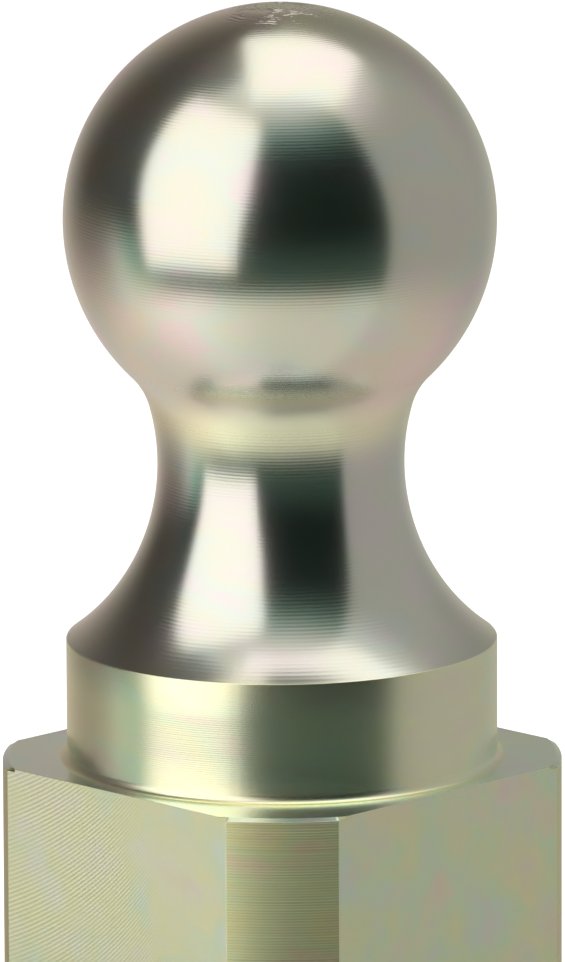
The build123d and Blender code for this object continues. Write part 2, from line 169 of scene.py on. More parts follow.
def head_profile():
    """(radius, height) from the centre of the top flat down to the foot of the collar."""
    ball = np.array([0, BALL_Z])
    flare = np.array([NECK_D / 2 + FLARE_R, SHANK_TOP + NECK_RISE])
    near, far = BALL_D / 2 + BLEND_R, FLARE_R - BLEND_R
    span = flare - ball
    gap = np.linalg.norm(span)
    along = (near**2 - far**2 + gap**2) / (2 * gap)
    aside = math.sqrt(near**2 - along**2)
    unit = span / gap
    blend = ball + unit * along + np.array([unit[1], -unit[0]]) * aside
    ball_end = ball + (blend - ball) / near * BALL_D / 2
    blend_end = flare + (blend - flare) / far * FLARE_R
    flat_r, collar_r = BALL_FLAT_D / 2, COLLAR_D / 2
    flat_z = BALL_Z + math.sqrt((BALL_D / 2) ** 2 - flat_r**2)
    collar_z = flare[1] - math.sqrt(FLARE_R**2 - (flare[0] - collar_r) ** 2)
    points = [np.array([r, flat_z]) for r in (0.01, 0.5, 1.2, 2.2, 3.2, flat_r - 0.35)]
    points.append(np.array([flat_r, flat_z - 0.04]))
    equator = ball + np.array([BALL_D / 2, 0])
    shoulder_r = flat_r + 0.3
    points += arc_points(ball, (shoulder_r, BALL_Z + math.sqrt((BALL_D / 2) ** 2 - shoulder_r**2)), equator)
    points += arc_points(ball, equator, ball_end)[1:]
    points += arc_points(blend, ball_end, blend_end, 0.5)[1:]
    points += arc_points(flare, blend_end, (collar_r - 0.12, collar_z + 0.1))[1:]
    points += [np.array([collar_r - 0.03, collar_z + 0.02]), np.array([collar_r, collar_z - 0.12])]
    foot = np.array([collar_r, SHANK_TOP + FOOT_R])
    points += [foot + (points[-1] - foot) * t for t in (0.66, 0.33)]
    points += arc_points(foot + np.array([FOOT_R, 0]), foot, (collar_r + FOOT_R, SHANK_TOP), 0.2)
    return points


def shank_radius(angle, turned_r):
    """Distance from the axis to the shank's surface: turned round, then milled to four flats."""
    flat = (SHANK_W / 2) / max(abs(math.cos(angle)), abs(math.sin(angle)))
    return min(flat, turned_r)


def shank_angles():
    """Angles that fall exactly on the edges between flats and corners."""
    half = math.acos((SHANK_W / 2) / (TURN_D / 2))
    top_half = math.acos((SHANK_W / 2) / (TURN_D / 2 - TOP_BREAK_W))
    flat = [math.atan(t * math.tan(top_half)) for t in np.linspace(-1, 1, 49)]
    corner = list(np.linspace(half, math.pi / 2 - half, 33))
    quarter = flat + corner
    return [a + q * math.pi / 2 for q in range(4) for a in quarter]


def build_ball():
    angles = shank_angles()
    rings = [[(r, z) for _ in angles] for r, z in head_profile()]
    turned = TURN_D / 2
    for radius, z in ((turned - TOP_BREAK_W, SHANK_TOP), (turned, SHANK_TOP - TOP_BREAK_H),
                      (turned, SHANK_END + END_BREAK), (turned - END_BREAK, SHANK_END)):
        rings.append([(shank_radius(a, radius), z) for a in angles])
    verts = [(r * math.cos(a) * MM, r * math.sin(a) * MM, z * MM)
             for ring in rings for (r, z), a in zip(ring, angles)]
    count = len(angles)
    faces = [f[::-1] for f in grid_faces(len(rings), count)]
    faces += [tuple(range(count)), tuple(range(len(verts) - count, len(verts)))[::-1]]
    ball = new_object("ball_and_shank", verts, faces)
    through = 80
    latch_hole = cylinder_mm(LATCH_HOLE_D / 2, through)
    latch_hole.matrix_world = Matrix.Translation((0, 0, LATCH_Z * MM)) @ Matrix.Rotation(math.pi / 2, 4, "X")
    pocket = cylinder_mm(POCKET_D / 2, 2 * POCKET_DEPTH)
    pocket.matrix_world = Matrix.Translation((0, 0, SHANK_END * MM))
    pin_hole = cylinder_mm(LIFT_PIN_D / 2, through, 64)
    pin_hole.matrix_world = Matrix.Translation((0, 0, (SHANK_END + POCKET_DEPTH / 2) * MM)) @ Matrix.Rotation(
        math.pi / 2, 4, "Y")
    bpy.context.view_layer.update()
    cut(ball, [latch_hole, pocket, pin_hole])
    smooth(ball)
    return ball


REGIONS = ("ball", "neck", "collar", "top", "flat_x", "flat_y", "corner", "bore")


def paint_regions(ball, materials):
    """Gives each machined surface of the ball unit its own finish."""
    for name in REGIONS:
        ball.data.materials.append(materials[name])
    for face in ball.data.polygons:
        c, n = face.center / MM, face.normal
        radius = math.hypot(c.x, c.y)
        outward = (c.x * n.x + c.y * n.y) / max(radius, 1e-6)
        if c.z > SHANK_TOP + 0.01:
            name = "ball" if c.z > BALL_FOOT else "neck" if c.z > COLLAR_TOP else "collar"
        elif n.z > 0.7:
            name = "top"
        elif outward < 0.1:
            name = "bore"
        elif abs(n.x) > 0.999:
            name = "flat_x"
        elif abs(n.y) > 0.999:
            name = "flat_y"
        else:
            name = "corner"
        face.material_index = REGIONS.index(name)


# ---- materials ---------------------------------------------------------------------------------
class Shader:
    """A material's node tree, with short ways to add and join nodes."""

    def __init__(self, name):
        self.material = bpy.data.materials.new(name)
        self.material.use_nodes = True
        self.tree = self.material.node_tree
        self.surface = self.tree.nodes["Principled BSDF"]

    def add(self, kind, sockets=(), **settings):
        node = self.tree.nodes.new("ShaderNode" + kind)
        for key, value in settings.items():
            setattr(node, key, value)
        for key, value in dict(sockets).items():
            self.feed(node.inputs[key], value)
        return node

    def feed(self, socket, value):
        if isinstance(value, bpy.types.NodeSocket):
            self.tree.links.new(value, socket)
        else:
            socket.default_value = value

    def math(self, operation, a, b=0.0, c=0.0, clamp=False):
        return self.add("Math", {0: a, 1: b, 2: c}, operation=operation, use_clamp=clamp).outputs[0]

    def plus(self, a, b):
        return self.math("ADD", a, b)

    def minus(self, a, b):
        return self.math("SUBTRACT", a, b)

    def times(self, a, b):
        return self.math("MULTIPLY", a, b)

    def place(self, scale=(1, 1, 1)):
        where = self.add("TexCoord").outputs["Object"]
        return self.add("Mapping", {"Vector": where, "Scale": scale}).outputs[0]

    def noise(self, scale, detail=3.0, roughness=0.5, stretch=(1, 1, 1)):
        node = self.add("TexNoise", {"Vector": self.place(stretch), "Scale": scale, "Detail": detail,
                                     "Roughness": roughness})
        return node.outputs["Fac"]

    def axes(self, names):
        """Object coordinates in millimetres, such as XYZ."""
        where = self.add("SeparateXYZ", {0: self.add("TexCoord").outputs["Object"]})
        return [self.times(where.outputs[name], 1000.0) for name in names]

    def drift(self, along, scale):
        """Noise that changes along one coordinate only."""
        sockets = {"W": self.times(along, scale), "Scale": 1.0, "Detail": 1.0}
        return self.add("TexNoise", sockets, noise_dimensions="1D").outputs["Fac"]

    def ramp(self, value, stops):
        node = self.add("ValToRGB", {"Fac": value})
        ramp = node.color_ramp
        while len(ramp.elements) < len(stops):
            ramp.elements.new(0.5)
        for element, (at, colour) in zip(ramp.elements, stops):
            element.position = at
            element.color = (*colour, 1)
        return node.outputs["Color"]

    def spread(self, value, low, high):
        """value from 0..1 onto low..high."""
        return self.math("MULTIPLY_ADD", value, high - low, low)

    def blend(self, factor, a, b, mode="MIX"):
        node = self.add("Mix", data_type="RGBA", blend_type=mode)
        self.feed(node.inputs[0], factor)
        self.feed(node.inputs[6], a)
        self.feed(node.inputs[7], b)
        return node.outputs[2]

    def bump(self, height, distance_mm, strength=1.0, under=None):
        sockets = {"Height": height, "Distance": distance_mm * MM, "Strength": strength}
        if under is not None:
            sockets["Normal"] = under
        return self.add("Bump", sockets).outputs["Normal"]

    def metal(self, colour, roughness, normal, anisotropy=0.0, tangent=None, turn=0.25, metallic=1.0):
        """Bare or plated metal; turn 0.25 stretches its highlights across the tool's lines, 0 along them."""
        more = {}
        if tangent is not None:
            more = {"Anisotropic": anisotropy, "Anisotropic_Rotation": turn, "Tangent": tangent}
        return self.finish(Base_Color=colour, Metallic=metallic, Roughness=roughness, Normal=normal, **more)

    def finish(self, **sockets):
        for key, value in sockets.items():
            self.feed(self.surface.inputs[key.replace("_", " ")], value)
        return self.material


def film_colour(s, base, amount, stretch=(1, 1, 1.8), glow_band=None, mottle=0.0):
    """Plated steel under a chromate film: the film's thickness wanders through pink, yellow and green.

    A ring height in millimetres, when given, places a brighter, yellower ring there: painted light that stands
    for light reflected from the ball's underside into the neck, on a film that is also yellower. mottle is the
    strength of a second, finer play of colours."""
    wander = s.noise(85.0, 2.0, 0.45, stretch)
    broad = s.noise(30.0, 1.0, 0.4)
    thickness = s.plus(s.times(wander, 0.65), s.times(broad, 0.45))
    tint = s.ramp(thickness, (
        (0.36, (1.08, 0.92, 0.93)), (0.46, (1.04, 0.98, 0.92)), (0.55, (1.0, 1.02, 0.84)),
        (0.64, (0.93, 1.03, 0.93)), (0.74, (1.06, 0.93, 0.96))))
    tinted = s.blend(1.0, (*base, 1), tint, "MULTIPLY")
    colour = s.blend(amount, (*base, 1), tinted)
    if mottle:
        fine = s.ramp(s.noise(120.0, 2.0, 0.5), (
            (0.34, (1.06, 0.98, 0.92)), (0.45, (1.06, 1.02, 0.80)), (0.56, (0.95, 1.04, 0.84)),
            (0.68, (0.96, 1.0, 1.0))))
        colour = s.blend(mottle, colour, s.blend(1.0, colour, fine, "MULTIPLY"))
    if glow_band is None:
        return colour
    # Painted light: the ring is brighter and yellower, standing for light reflected from the ball's underside
    # into the neck, on a yellower film.
    straw_glow = s.times(ring_mask(s, glow_band, 3.4), 0.85)
    return s.blend(straw_glow, colour, (0.98, 0.97, 0.66, 1))


def along_surface(s, centre):
    """Distance along a ball's meridian, in millimetres, from its equator."""
    radius = BALL_D / 2
    level = s.math("DIVIDE", s.minus(s.axes("Z")[0], centre), radius)
    level = s.math("MINIMUM", s.math("MAXIMUM", level, -0.9999), 0.9999)
    return s.times(s.math("ARCSINE", level), radius)


def turned_lines(s, feed_mm, centre=None):
    """Ring grooves left by a lathe tool, as a height near 0.5: a steady feed, now stronger, now weaker."""
    height = s.axes("Z")[0] if centre is None else along_surface(s, centre)
    wave = s.math("SINE", s.times(height, 2 * math.pi / feed_mm))
    strength = s.spread(s.drift(height, 0.28), 0.05, 0.40)
    chatter = s.drift(height, 0.9 / feed_mm)
    return s.plus(s.times(wave, strength), s.spread(chatter, 0.25, 0.75))


def ring_mask(s, at, width):
    """1 on a ring at a height in millimetres, fading away above and below it."""
    offset = s.math("DIVIDE", s.minus(s.axes("Z")[0], at), width)
    return s.math("EXPONENT", s.times(s.times(offset, offset), -1.0))


def torn_marks(s):
    """Turning marks torn into the steel round the ball's top, where the tool ran slowest."""
    x, y, z = s.axes("XYZ")
    radius = s.math("SQRT", s.plus(s.times(x, x), s.times(y, y)))
    wobble = s.times(s.noise(420.0, 3.0, 0.6), 9.0)
    rings = s.math("SINE", s.plus(s.times(radius, 2 * math.pi / 0.75), wobble))
    torn = s.ramp(s.noise(300.0, 3.0, 0.6), ((0.45, (0, 0, 0)), (0.62, (1, 1, 1))))
    near = s.math("MULTIPLY_ADD", radius, -0.3, 2.6, clamp=True)
    near = s.times(near, s.math("GREATER_THAN", z, BALL_Z + 20))
    return s.times(s.times(rings, torn), near)


def turned_metal(name, base, film, roughness, anisotropy, feed_mm, depth, centre=None, speckle=0.0, glow_band=None,
                 torn=False, groove=0.0, turn=0.25, metallic=1.0):
    """Steel turned on a lathe, then plated. feed_mm and depth are the pitch and depth of its ring grooves, and
    groove darkens the colour in them as painted shade.
    """
    s = Shader(name)
    tangent = s.add("Tangent", direction_type="RADIAL", axis="Z").outputs[0]
    lines = turned_lines(s, feed_mm, centre)
    grain = s.noise(1800.0, 2.0, 0.6, (1, 1, 3))
    rough = s.plus(s.spread(lines, roughness - 0.02, roughness + 0.02), s.spread(grain, -0.015, 0.015))
    normal = s.bump(lines, depth, 1.0)
    if speckle:
        normal = s.bump(s.noise(2600.0, 1.0, 0.5), speckle, 1.0, under=normal)
    if torn:
        normal = s.bump(torn_marks(s), 0.11, 1.0, under=normal)
    if glow_band is not None:
        rough = s.math("MULTIPLY_ADD", ring_mask(s, DULL_Z, 4.2), 0.12, rough)
    colour = film_colour(s, base, film, glow_band=glow_band)
    # Painted shade: the colour darkens in the bottoms of the ring grooves, by the given share.
    if groove:
        shade = s.ramp(lines, ((0.3, (1 - groove,) * 3), (0.7, (1.0, 1.0, 1.0))))
        colour = s.blend(1.0, colour, shade, "MULTIPLY")
    return s.metal(colour, rough, normal, anisotropy, tangent, turn, metallic)


MILL_R, MILL_ASIDE = 74.0, 49.0       # sweep of the face mill, and how far aside its centre ran
MILL_FEED, BACK_FEED = 0.62, 0.8      # spacing of the arcs of its leading and trailing edge


def milled_metal(name, base, film, roughness, across, depth, grain_depth):
    """A flat swept by a face mill that fed along Z: arcs of one radius, one after another."""
    s = Shader(name)
    side, height = s.axes((across, "Z"))
    side = s.plus(side, MILL_ASIDE)
    root = s.math("SQRT", s.math("MAXIMUM", s.minus(MILL_R**2, s.times(side, side)), 0.5))
    strength = s.math("MULTIPLY_ADD", root, 0.8 / MILL_R, 0.2)
    marks = s.math("SINE", s.times(s.plus(height, root), 2 * math.pi / MILL_FEED))
    cross = s.math("SINE", s.times(s.minus(height, root), 2 * math.pi / BACK_FEED))
    grain = s.noise(1700.0, 3.0, 0.65)
    patchy = s.noise(130.0, 2.0, 0.5)
    ridges = s.times(s.times(marks, 0.5), strength)
    ridges = s.plus(ridges, s.times(cross, 0.24))
    ridges = s.times(ridges, s.spread(patchy, -0.2, 2.0))
    rough = s.plus(s.spread(patchy, roughness - 0.05, roughness + 0.05), s.spread(grain, -0.03, 0.03))
    normal = s.bump(grain, grain_depth, 1.0, under=s.bump(ridges, depth, 1.0))
    return s.metal(film_colour(s, base, film, (1, 1, 1), mottle=0.7), rough, normal)


def plain_metal(name, base, roughness):
    """Plated or bare metal with a fine grain and a slight cloudiness."""
    s = Shader(name)
    fine = s.noise(600.0, 4.0, 0.6)
    broad = s.noise(40.0, 3.0, 0.5)
    colour = s.blend(broad, (*[c * 0.88 for c in base], 1), (*base, 1))
    rough = s.spread(broad, roughness - 0.06, roughness + 0.06)
    return s.finish(Base_Color=colour, Metallic=1.0, Roughness=rough, Normal=s.bump(fine, 0.01, 0.6))


def galvanised(name):
    """Hot-dip zinc with its crystal spangle."""
    s = Shader(name)
    cells = s.add("TexVoronoi", {"Vector": s.place(), "Scale": 110.0, "Randomness": 1.0})
    tone = s.add("SeparateColor", {0: cells.outputs["Color"]}).outputs[0]
    cloud = s.noise(25.0, 4.0, 0.55)
    shade = s.plus(s.times(tone, 0.4), s.times(cloud, 0.6))
    colour = s.ramp(shade, (
        (0.2, (0.47, 0.49, 0.51)), (0.55, (0.58, 0.60, 0.615)), (0.85, (0.68, 0.70, 0.71))))
    rough = s.spread(shade, 0.52, 0.36)
    bump = s.bump(s.noise(260.0, 4.0, 0.6), 0.05, 0.5)
    return s.finish(Base_Color=colour, Metallic=0.85, Roughness=rough, Normal=bump)


def moulded(name, dark, light, roughness):
    """Moulded plastic: a fine matt grain and a slight cloudiness."""
    s = Shader(name)
    fine = s.noise(2200.0, 2.0, 0.5)
    broad = s.noise(50.0, 3.0, 0.5)
    colour = s.blend(broad, (*dark, 1), (*light, 1))
    return s.finish(Base_Color=colour, Roughness=s.spread(broad, roughness, roughness + 0.13),
                    Normal=s.bump(fine, 0.03, 0.5))


def make_materials():
    # The ball and neck finishes carry a ring of painted reflected light where neck meets ball.
    head = {"film": 0.8, "roughness": 0.205, "anisotropy": 0.3, "feed_mm": 0.45, "depth": 0.006,
            "speckle": 0.0006, "glow_band": PAINTED_GLOW_Z}
    return {
        "ball": turned_metal("chromate_ball", (0.80, 0.77, 0.71), **head, centre=BALL_Z, torn=True),
        "neck": turned_metal("chromate_neck", (0.80, 0.785, 0.735), **{**head, "film": 0.7}),
        "collar": turned_metal("chromate_collar", (1.0, 0.97, 0.73), film=0.8, roughness=0.25, anisotropy=0.5,
                               feed_mm=0.3, depth=0.003, turn=0.0, metallic=0.985),
        # The shank's turned corners carry painted shade in their grooves.
        "corner": turned_metal("chromate_corner", (1.0, 0.95, 0.62), film=1.0, roughness=0.52, anisotropy=0.7,
                               feed_mm=0.38, depth=0.04, groove=0.18),
        "top": turned_metal("chromate_top", (0.90, 1.0, 0.98), film=0.8, roughness=0.25, anisotropy=0.4,
                            feed_mm=0.4, depth=0.001),
        "flat_x": milled_metal("chromate_flat_x", (0.96, 0.95, 0.82), film=1.0, roughness=0.40, across="Y",
                               depth=0.003, grain_depth=0.003),
        "flat_y": milled_metal("chromate_flat_y", (1.0, 1.0, 0.90), film=1.0, roughness=0.52, across="X",
                               depth=0.034, grain_depth=0.012),
        "bore": plain_metal("chromate_bore", (0.80, 0.80, 0.60), 0.45),
        "galvanised": galvanised("galvanised"),
        "zinc": plain_metal("zinc", (0.70, 0.71, 0.73), 0.30),
        "yellow_zinc": plain_metal("yellow_zinc", (0.76, 0.63, 0.36), 0.32),
        "black_oxide": plain_metal("black_oxide", (0.06, 0.06, 0.065), 0.38),
        "spring": plain_metal("spring", (0.42, 0.42, 0.43), 0.35),
        "grip": moulded("grip", (0.30, 0.018, 0.014), (0.40, 0.028, 0.02), 0.42),
        "nylon": moulded("nylon", (0.80, 0.80, 0.76), (0.86, 0.86, 0.82), 0.4),
        "weld": galvanised("galvanised_weld"),
    }


SLOT_MATERIAL = {"galvanised_steel": "galvanised", "zinc_steel": "zinc", "yellow_zinc": "yellow_zinc",
                 "black_oxide": "black_oxide", "spring_steel": "spring", "grip_plastic": "grip",
                 "plated_steel": "collar"}


# ---- studio ------------------------------------------------------------------------------------
LOOK = Vector((math.sqrt(0.5), -math.sqrt(0.5), 0))       # from the object towards the camera, level
SIDE = Vector((math.sqrt(0.5), math.sqrt(0.5), 0))        # the camera's right
DOME_R = 4.0
SOFTBOX = np.array([1.24, 1.22, 1.24])


def step(value, at, width):
    """A smooth step from 0 to 1, centred on at."""
    t = np.clip((value - at) / width + 0.5, 0, 1)
    return t * t * (3 - 2 * t)


def studio_light(direction):
    """Light from the room in each direction: two softboxes, a grey wall, a pale table and a dark front.

    Azimuth is in degrees to the right of the camera, and elevation in degrees above the level."""
    front = direction @ np.array(LOOK)
    side = direction @ np.array(SIDE)
    up = direction[:, 2]
    azimuth = np.degrees(np.arctan2(side, front))
    elevation = np.degrees(np.arcsin(np.clip(up, -1, 1)))
    away = np.abs(azimuth)

    wall = step(azimuth, 60, 5)
    left = step(-azimuth, 92, 16)
    far = step(away, 152, 56)
    light = 0.004 + 0.008 * step(elevation, 5, 30)
    light += 0.35 * wall * (1 - 0.30 * step(azimuth, 140, 40) * step(elevation, 5, 30))
    light += left * (0.045 + 0.38 * far * step(-elevation, -26, 60))
    light += left * 0.14 * step(-elevation, 8, 22)
    light += 0.34 * np.exp(-(((azimuth + 90) / 13) ** 2)) * step(-elevation, 6, 16)
    light += 0.05 * (1 - wall) * step(-elevation, 5, 22)
    light += 0.18 * step(azimuth, 155, 40) * wall * step(-elevation, -12, 50)
    ceiling = np.interp(elevation, (36, 46, 50, 54, 59, 64, 69, 76),
                        (0, 0.03, 0.08, 0.16, 0.28, 0.45, 0.62, 0.76))
    light += ceiling * (1 - 0.8 * left * step(-elevation, -76, 14)) * (1 - 0.5 * wall)
    light += 0.13 * wall * step(elevation, 50, 14)

    table_edge = 28 + 2 * (1 - step(away, 40, 30)) - 3 * step(-azimuth, 70, 30)
    table = step(-elevation, table_edge, 9 + 18 * step(away, 70, 40))
    glow = 0.40 * np.exp(-(((azimuth + 62) / 40) ** 2)) * (1 - 0.7 * step(-elevation, 52, 46))
    light += (0.64 + glow - 0.10 * wall - light) * table

    colour = np.stack([light] * 3, 1)
    dark = (1 - table) ** 4 * (1 - wall) * (1 - left) * step(-elevation, -58, 20)
    brown = (1 - table) * left * step(-azimuth, 112, 30)
    corner = step(azimuth, 158, 36)
    straw_glow = np.exp(-(((elevation + 24) / 7) ** 2)) * (1 - left) * (1 - wall)
    for mask, tint in ((dark, (-0.5, 0.02, -0.1)), (brown, (0.10, -0.04, -0.12)),
                       (corner, (-0.10, -0.12, -0.27)), (straw_glow, (-0.02, 0, -0.16))):
        colour *= 1 + mask[:, None] * np.array(tint)
    blush = table * step(away, 75, 50)
    colour *= 1 - table[:, None] * np.array([0, 0, 0.05]) - blush[:, None] * np.array([-0.06, 0.08, 0.08])

    key_left = np.interp(elevation, (-12, 0, 15, 35, 44, 52, 57, 63, 67),
                         (76, 78, 83, 90, 94, 97, 95, 72, 36))
    key_right = np.interp(elevation, (-12, 9, 24, 55, 61, 67), (24, 20, 17, 16, 20, 36))
    key = step(-azimuth, key_right, 3) * step(azimuth, -key_left, 3)
    key *= step(elevation, -17, 3) * step(-elevation, -64, 8)
    over = np.maximum(up, 0.02)
    across, along = side / over, front / over
    top = step(across, -0.225, 0.04) * step(-across, -0.56 + 0.5 * np.maximum(along - 0.02, 0), 0.06)
    top *= step(along, -0.74 + 0.2 * np.maximum(across - 0.2, 0), 0.08) * step(-along, -0.245, 0.04)
    top *= up > 0.1
    box = np.maximum(key, top)[:, None]
    return colour * (1 - box) + box * SOFTBOX


def build_dome():
    """A glowing shell that only reflections see, one point to a degree."""
    rows, columns = 181, 360
    el = np.linspace(-math.pi / 2, math.pi / 2, rows)
    az = np.arange(columns) * 2 * math.pi / columns
    grid_el, grid_az = np.meshgrid(el, az, indexing="ij")
    direction = np.stack([np.cos(grid_el) * np.cos(grid_az), np.cos(grid_el) * np.sin(grid_az),
                          np.sin(grid_el)], -1).reshape(-1, 3)
    centre = np.array([0, 0, BALL_Z * MM])
    dome = new_object("studio_dome", centre + direction * DOME_R, grid_faces(rows, columns), 180)
    layer = dome.data.color_attributes.new("studio", "FLOAT_COLOR", "POINT")
    rgba = np.ones((len(direction), 4), np.float32)
    rgba[:, :3] = studio_light(direction)
    layer.data.foreach_set("color", rgba.ravel())
    material = bpy.data.materials.new("studio_dome")
    material.use_nodes = True
    tree = material.node_tree
    tree.nodes.clear()
    colour = tree.nodes.new("ShaderNodeVertexColor")
    colour.layer_name = "studio"
    glow = tree.nodes.new("ShaderNodeEmission")
    out = tree.nodes.new("ShaderNodeOutputMaterial")
    tree.links.new(colour.outputs["Color"], glow.inputs["Color"])
    tree.links.new(glow.outputs[0], out.inputs["Surface"])
    material.cycles.emission_sampling = "NONE"
    dome.data.materials.append(material)
    for ray in ("camera", "diffuse", "shadow", "transmission", "volume_scatter"):
        setattr(dome, "visible_" + ray, False)
    dome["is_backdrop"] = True


def area_light(name, location, target, size, power):
    data = bpy.data.lights.new(name, "AREA")
    data.shape, data.size, data.energy = "DISK", size, power
    light = bpy.data.objects.new(name, data)
    light.location = location
    light.rotation_mode = "QUATERNION"
    light.rotation_quaternion = (Vector(target) - Vector(location)).to_track_quat("-Z", "Y")
    light.visible_glossy = False
    bpy.context.scene.collection.objects.link(light)
    light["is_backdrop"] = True


def build_studio(floor_z):
    s = Shader("floor")
    paper = s.noise(3.0, 2.0, 0.5)
    colour = s.blend(paper, (0.90, 0.90, 0.90, 1), (0.92, 0.92, 0.915, 1))
    s.finish(Base_Color=colour, Roughness=0.9)
    s.surface.inputs["Specular IOR Level"].default_value = 0.0
    half = 30.0
    corners = [(-half, -half), (half, -half), (half, half), (-half, half)]
    floor = new_object("floor", [(x, y, floor_z) for x, y in corners], [(0, 1, 2, 3)])
    floor.data.materials.append(s.material)
    floor.visible_glossy = False
    floor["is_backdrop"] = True
    build_dome()
    key = -SIDE * 0.9 + LOOK * 0.8
    area_light("key", (key.x, key.y, 0.9), (0, 0, 0.05), 0.7, 14)
    area_light("over", (0.1, 0.1, 1.3), (0, 0, 0), 0.8, 10)
    world = bpy.data.worlds.new("studio")
    world.use_nodes = True
    world.node_tree.nodes["Background"].inputs["Color"].default_value = (1, 1, 1, 1)
    world.node_tree.nodes["Background"].inputs["Strength"].default_value = 1.0
    bpy.context.scene.world = world
    bpy.context.scene.view_settings.view_transform = "Standard"


PHOTO_H, FOCAL, ASIDE = 962, 14165.2, 1.488       # the photo's height, lens and sideways shift, in pixels


def build_camera():
    """The photographer's view: a long lens, 12.3 degrees above, looking at the shank's front corner."""
    distance, aim_rise = 1.9227, 38.04
    elevation, yaw, roll = math.radians(12.285), math.radians(0.063), math.radians(0.2554)
    data = bpy.data.cameras.new("camera")
    data.lens, data.sensor_width = FOCAL * 36 / PHOTO_H, 36
    data.clip_start, data.clip_end = 0.05, 200
    data.shift_x = ASIDE / PHOTO_H
    camera = bpy.data.objects.new("camera", data)
    level = LOOK * math.cos(elevation) + Vector((0, 0, math.sin(elevation)))
    back = Matrix.Rotation(yaw, 3, "Z") @ level
    camera.location = Vector((0, 0, (SHANK_TOP + aim_rise) * MM)) + back * distance
    camera.rotation_mode = "QUATERNION"
    look = (-back).to_track_quat("-Z", "Y").to_matrix()
    camera.rotation_quaternion = (look @ Matrix.Rotation(-roll, 3, "Z")).to_quaternion()
    bpy.context.scene.collection.objects.link(camera)
    bpy.context.scene.camera = camera


# ---- lofted pieces -----------------------------------------------------------------------------
def loft(rings, loop=False):
    """A skin over successive rings of points, closed by caps or joined end to end."""
    count = len(rings[0])
    verts = np.concatenate(rings)
    faces = grid_faces(len(rings), count)
    last = len(verts) - count
    if loop:
        faces += [(last + j, last + (j + 1) % count, (j + 1) % count, j) for j in range(count)]
    else:
        faces += [tuple(range(count))[::-1], tuple(range(last, len(verts)))]
    return verts, faces


def circle(radius, z, segments=48):
    """A ring about Z; radius is one number or one per point."""
    angle = np.arange(segments) * 2 * math.pi / segments
    return np.stack([np.cos(angle) * radius, np.sin(angle) * radius, np.full(segments, float(z))], 1)


def along_latch(part):
    """Turns a part built up +Z so that it runs along the latch's axis."""
    verts, faces = part
    return np.stack([verts[:, 0], verts[:, 2], LATCH_Z - verts[:, 1]], 1), faces


def moved(part, offset):
    return part[0] + np.array(offset, float), part[1]


def clean(obj):
    """Joins coincident points and turns every face outwards."""
    work = bmesh.new()
    work.from_mesh(obj.data)
    bmesh.ops.remove_doubles(work, verts=work.verts, dist=0.003 * MM)
    bmesh.ops.dissolve_degenerate(work, edges=work.edges, dist=0.002 * MM)
    bmesh.ops.recalc_face_normals(work, faces=work.faces)
    work.to_mesh(obj.data)
    work.free()


def joined(parts):
    """Several parts as one list of points and one of faces."""
    faces, base = [], 0
    for part_verts, part_faces in parts:
        faces += [tuple(v + base for v in f) for f in part_faces]
        base += len(part_verts)
    return np.concatenate([part[0] for part in parts]), faces


def make_piece(name, parts, finish, sharp_deg=35.0, second=(), second_finish=None):
    """One object from parts in millimetres; second holds the parts with another finish."""
    verts, faces = joined([*parts, *second])
    obj = new_object(name, verts * MM, faces)
    obj.data.materials.append(materials[finish])
    if second_finish:
        plain = sum(len(part[1]) for part in parts)
        obj.data.materials.append(materials[second_finish])
        obj.data.polygons.foreach_set("material_index", [int(i >= plain) for i in range(len(faces))])
    clean(obj)
    smooth(obj, sharp_deg)
    return obj


def finish_of(node):
    return SLOT_MATERIAL[slot_of[node]]


def stands_for(obj, node, body=None):
    """The piece takes a CAD node's place and body."""
    if body:
        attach(obj, body)
    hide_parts(node)
    obj.visible_glossy = False


# ---- threads, nuts and screws ------------------------------------------------------------------
def threaded_end(diameter, pitch, foot, top):
    """The skin of a threaded rod end standing on z = foot; its top edge is plain and open."""
    segments, runout = 36, 3.0
    depth, major = 0.6 * pitch, diameter / 2
    rows = 4 * (math.ceil((top - foot) / pitch) + 3)
    k = np.arange(rows)
    turn = np.arange(segments) / segments
    share = np.array([0.0, 0.125, 0.4375, 0.6875])[k % 4]
    z = foot - pitch + pitch * ((k // 4 + share)[:, None] + turn[None, :])
    z = np.clip(z, foot, top)
    root = np.isin(k % 4, (2, 3))[:, None]
    radius = major - depth * root * np.clip((top - z) / runout, 0, 1)
    radius = np.minimum(radius, major - depth - 0.2 + (z - foot))
    angle = turn * 2 * math.pi
    verts = np.stack([radius * np.cos(angle), radius * np.sin(angle), z], -1).reshape(-1, 3)
    faces = []
    for row in range(rows - 1):
        for j in range(segments - 1):
            a = row * segments + j
            faces.append((a, a + 1, a + 1 + segments, a + segments))
        if row + 5 < rows:
            a, b = row * segments + segments - 1, (row + 4) * segments
            faces.append((a, b, b + segments, a + segments))
    faces.append(tuple(range(segments))[::-1])
    return verts, faces


def hex_radius(across_flats, segments=72):
    fold = np.arange(segments) * 2 * math.pi / segments % (math.pi / 3) - math.pi / 6
    return across_flats / 2 / np.cos(fold)


def hex_sides(across_flats, foot, height):
    """The outside of a nut: six flats whose corners a cone has turned off."""
    near = np.arange(0, 1.5, 0.12)
    rises = np.unique(np.concatenate([near, height - near, [height / 2]]).round(4))
    rings = []
    for rise in rises:
        cone = across_flats / 2 - 0.25 + 1.75 * min(rise, height - rise)
        rings.append(circle(np.minimum(hex_radius(across_flats), cone), foot + rise, 72))
    return rings


def hex_nut(across_flats, foot, height, bore_r):
    top = foot + height
    bore = [circle(bore_r + 0.6, top, 72), circle(bore_r, top - 0.6, 72), circle(bore_r, foot + 0.6, 72),
            circle(bore_r + 0.6, foot, 72)]
    return loft(hex_sides(across_flats, foot, height) + bore, loop=True)


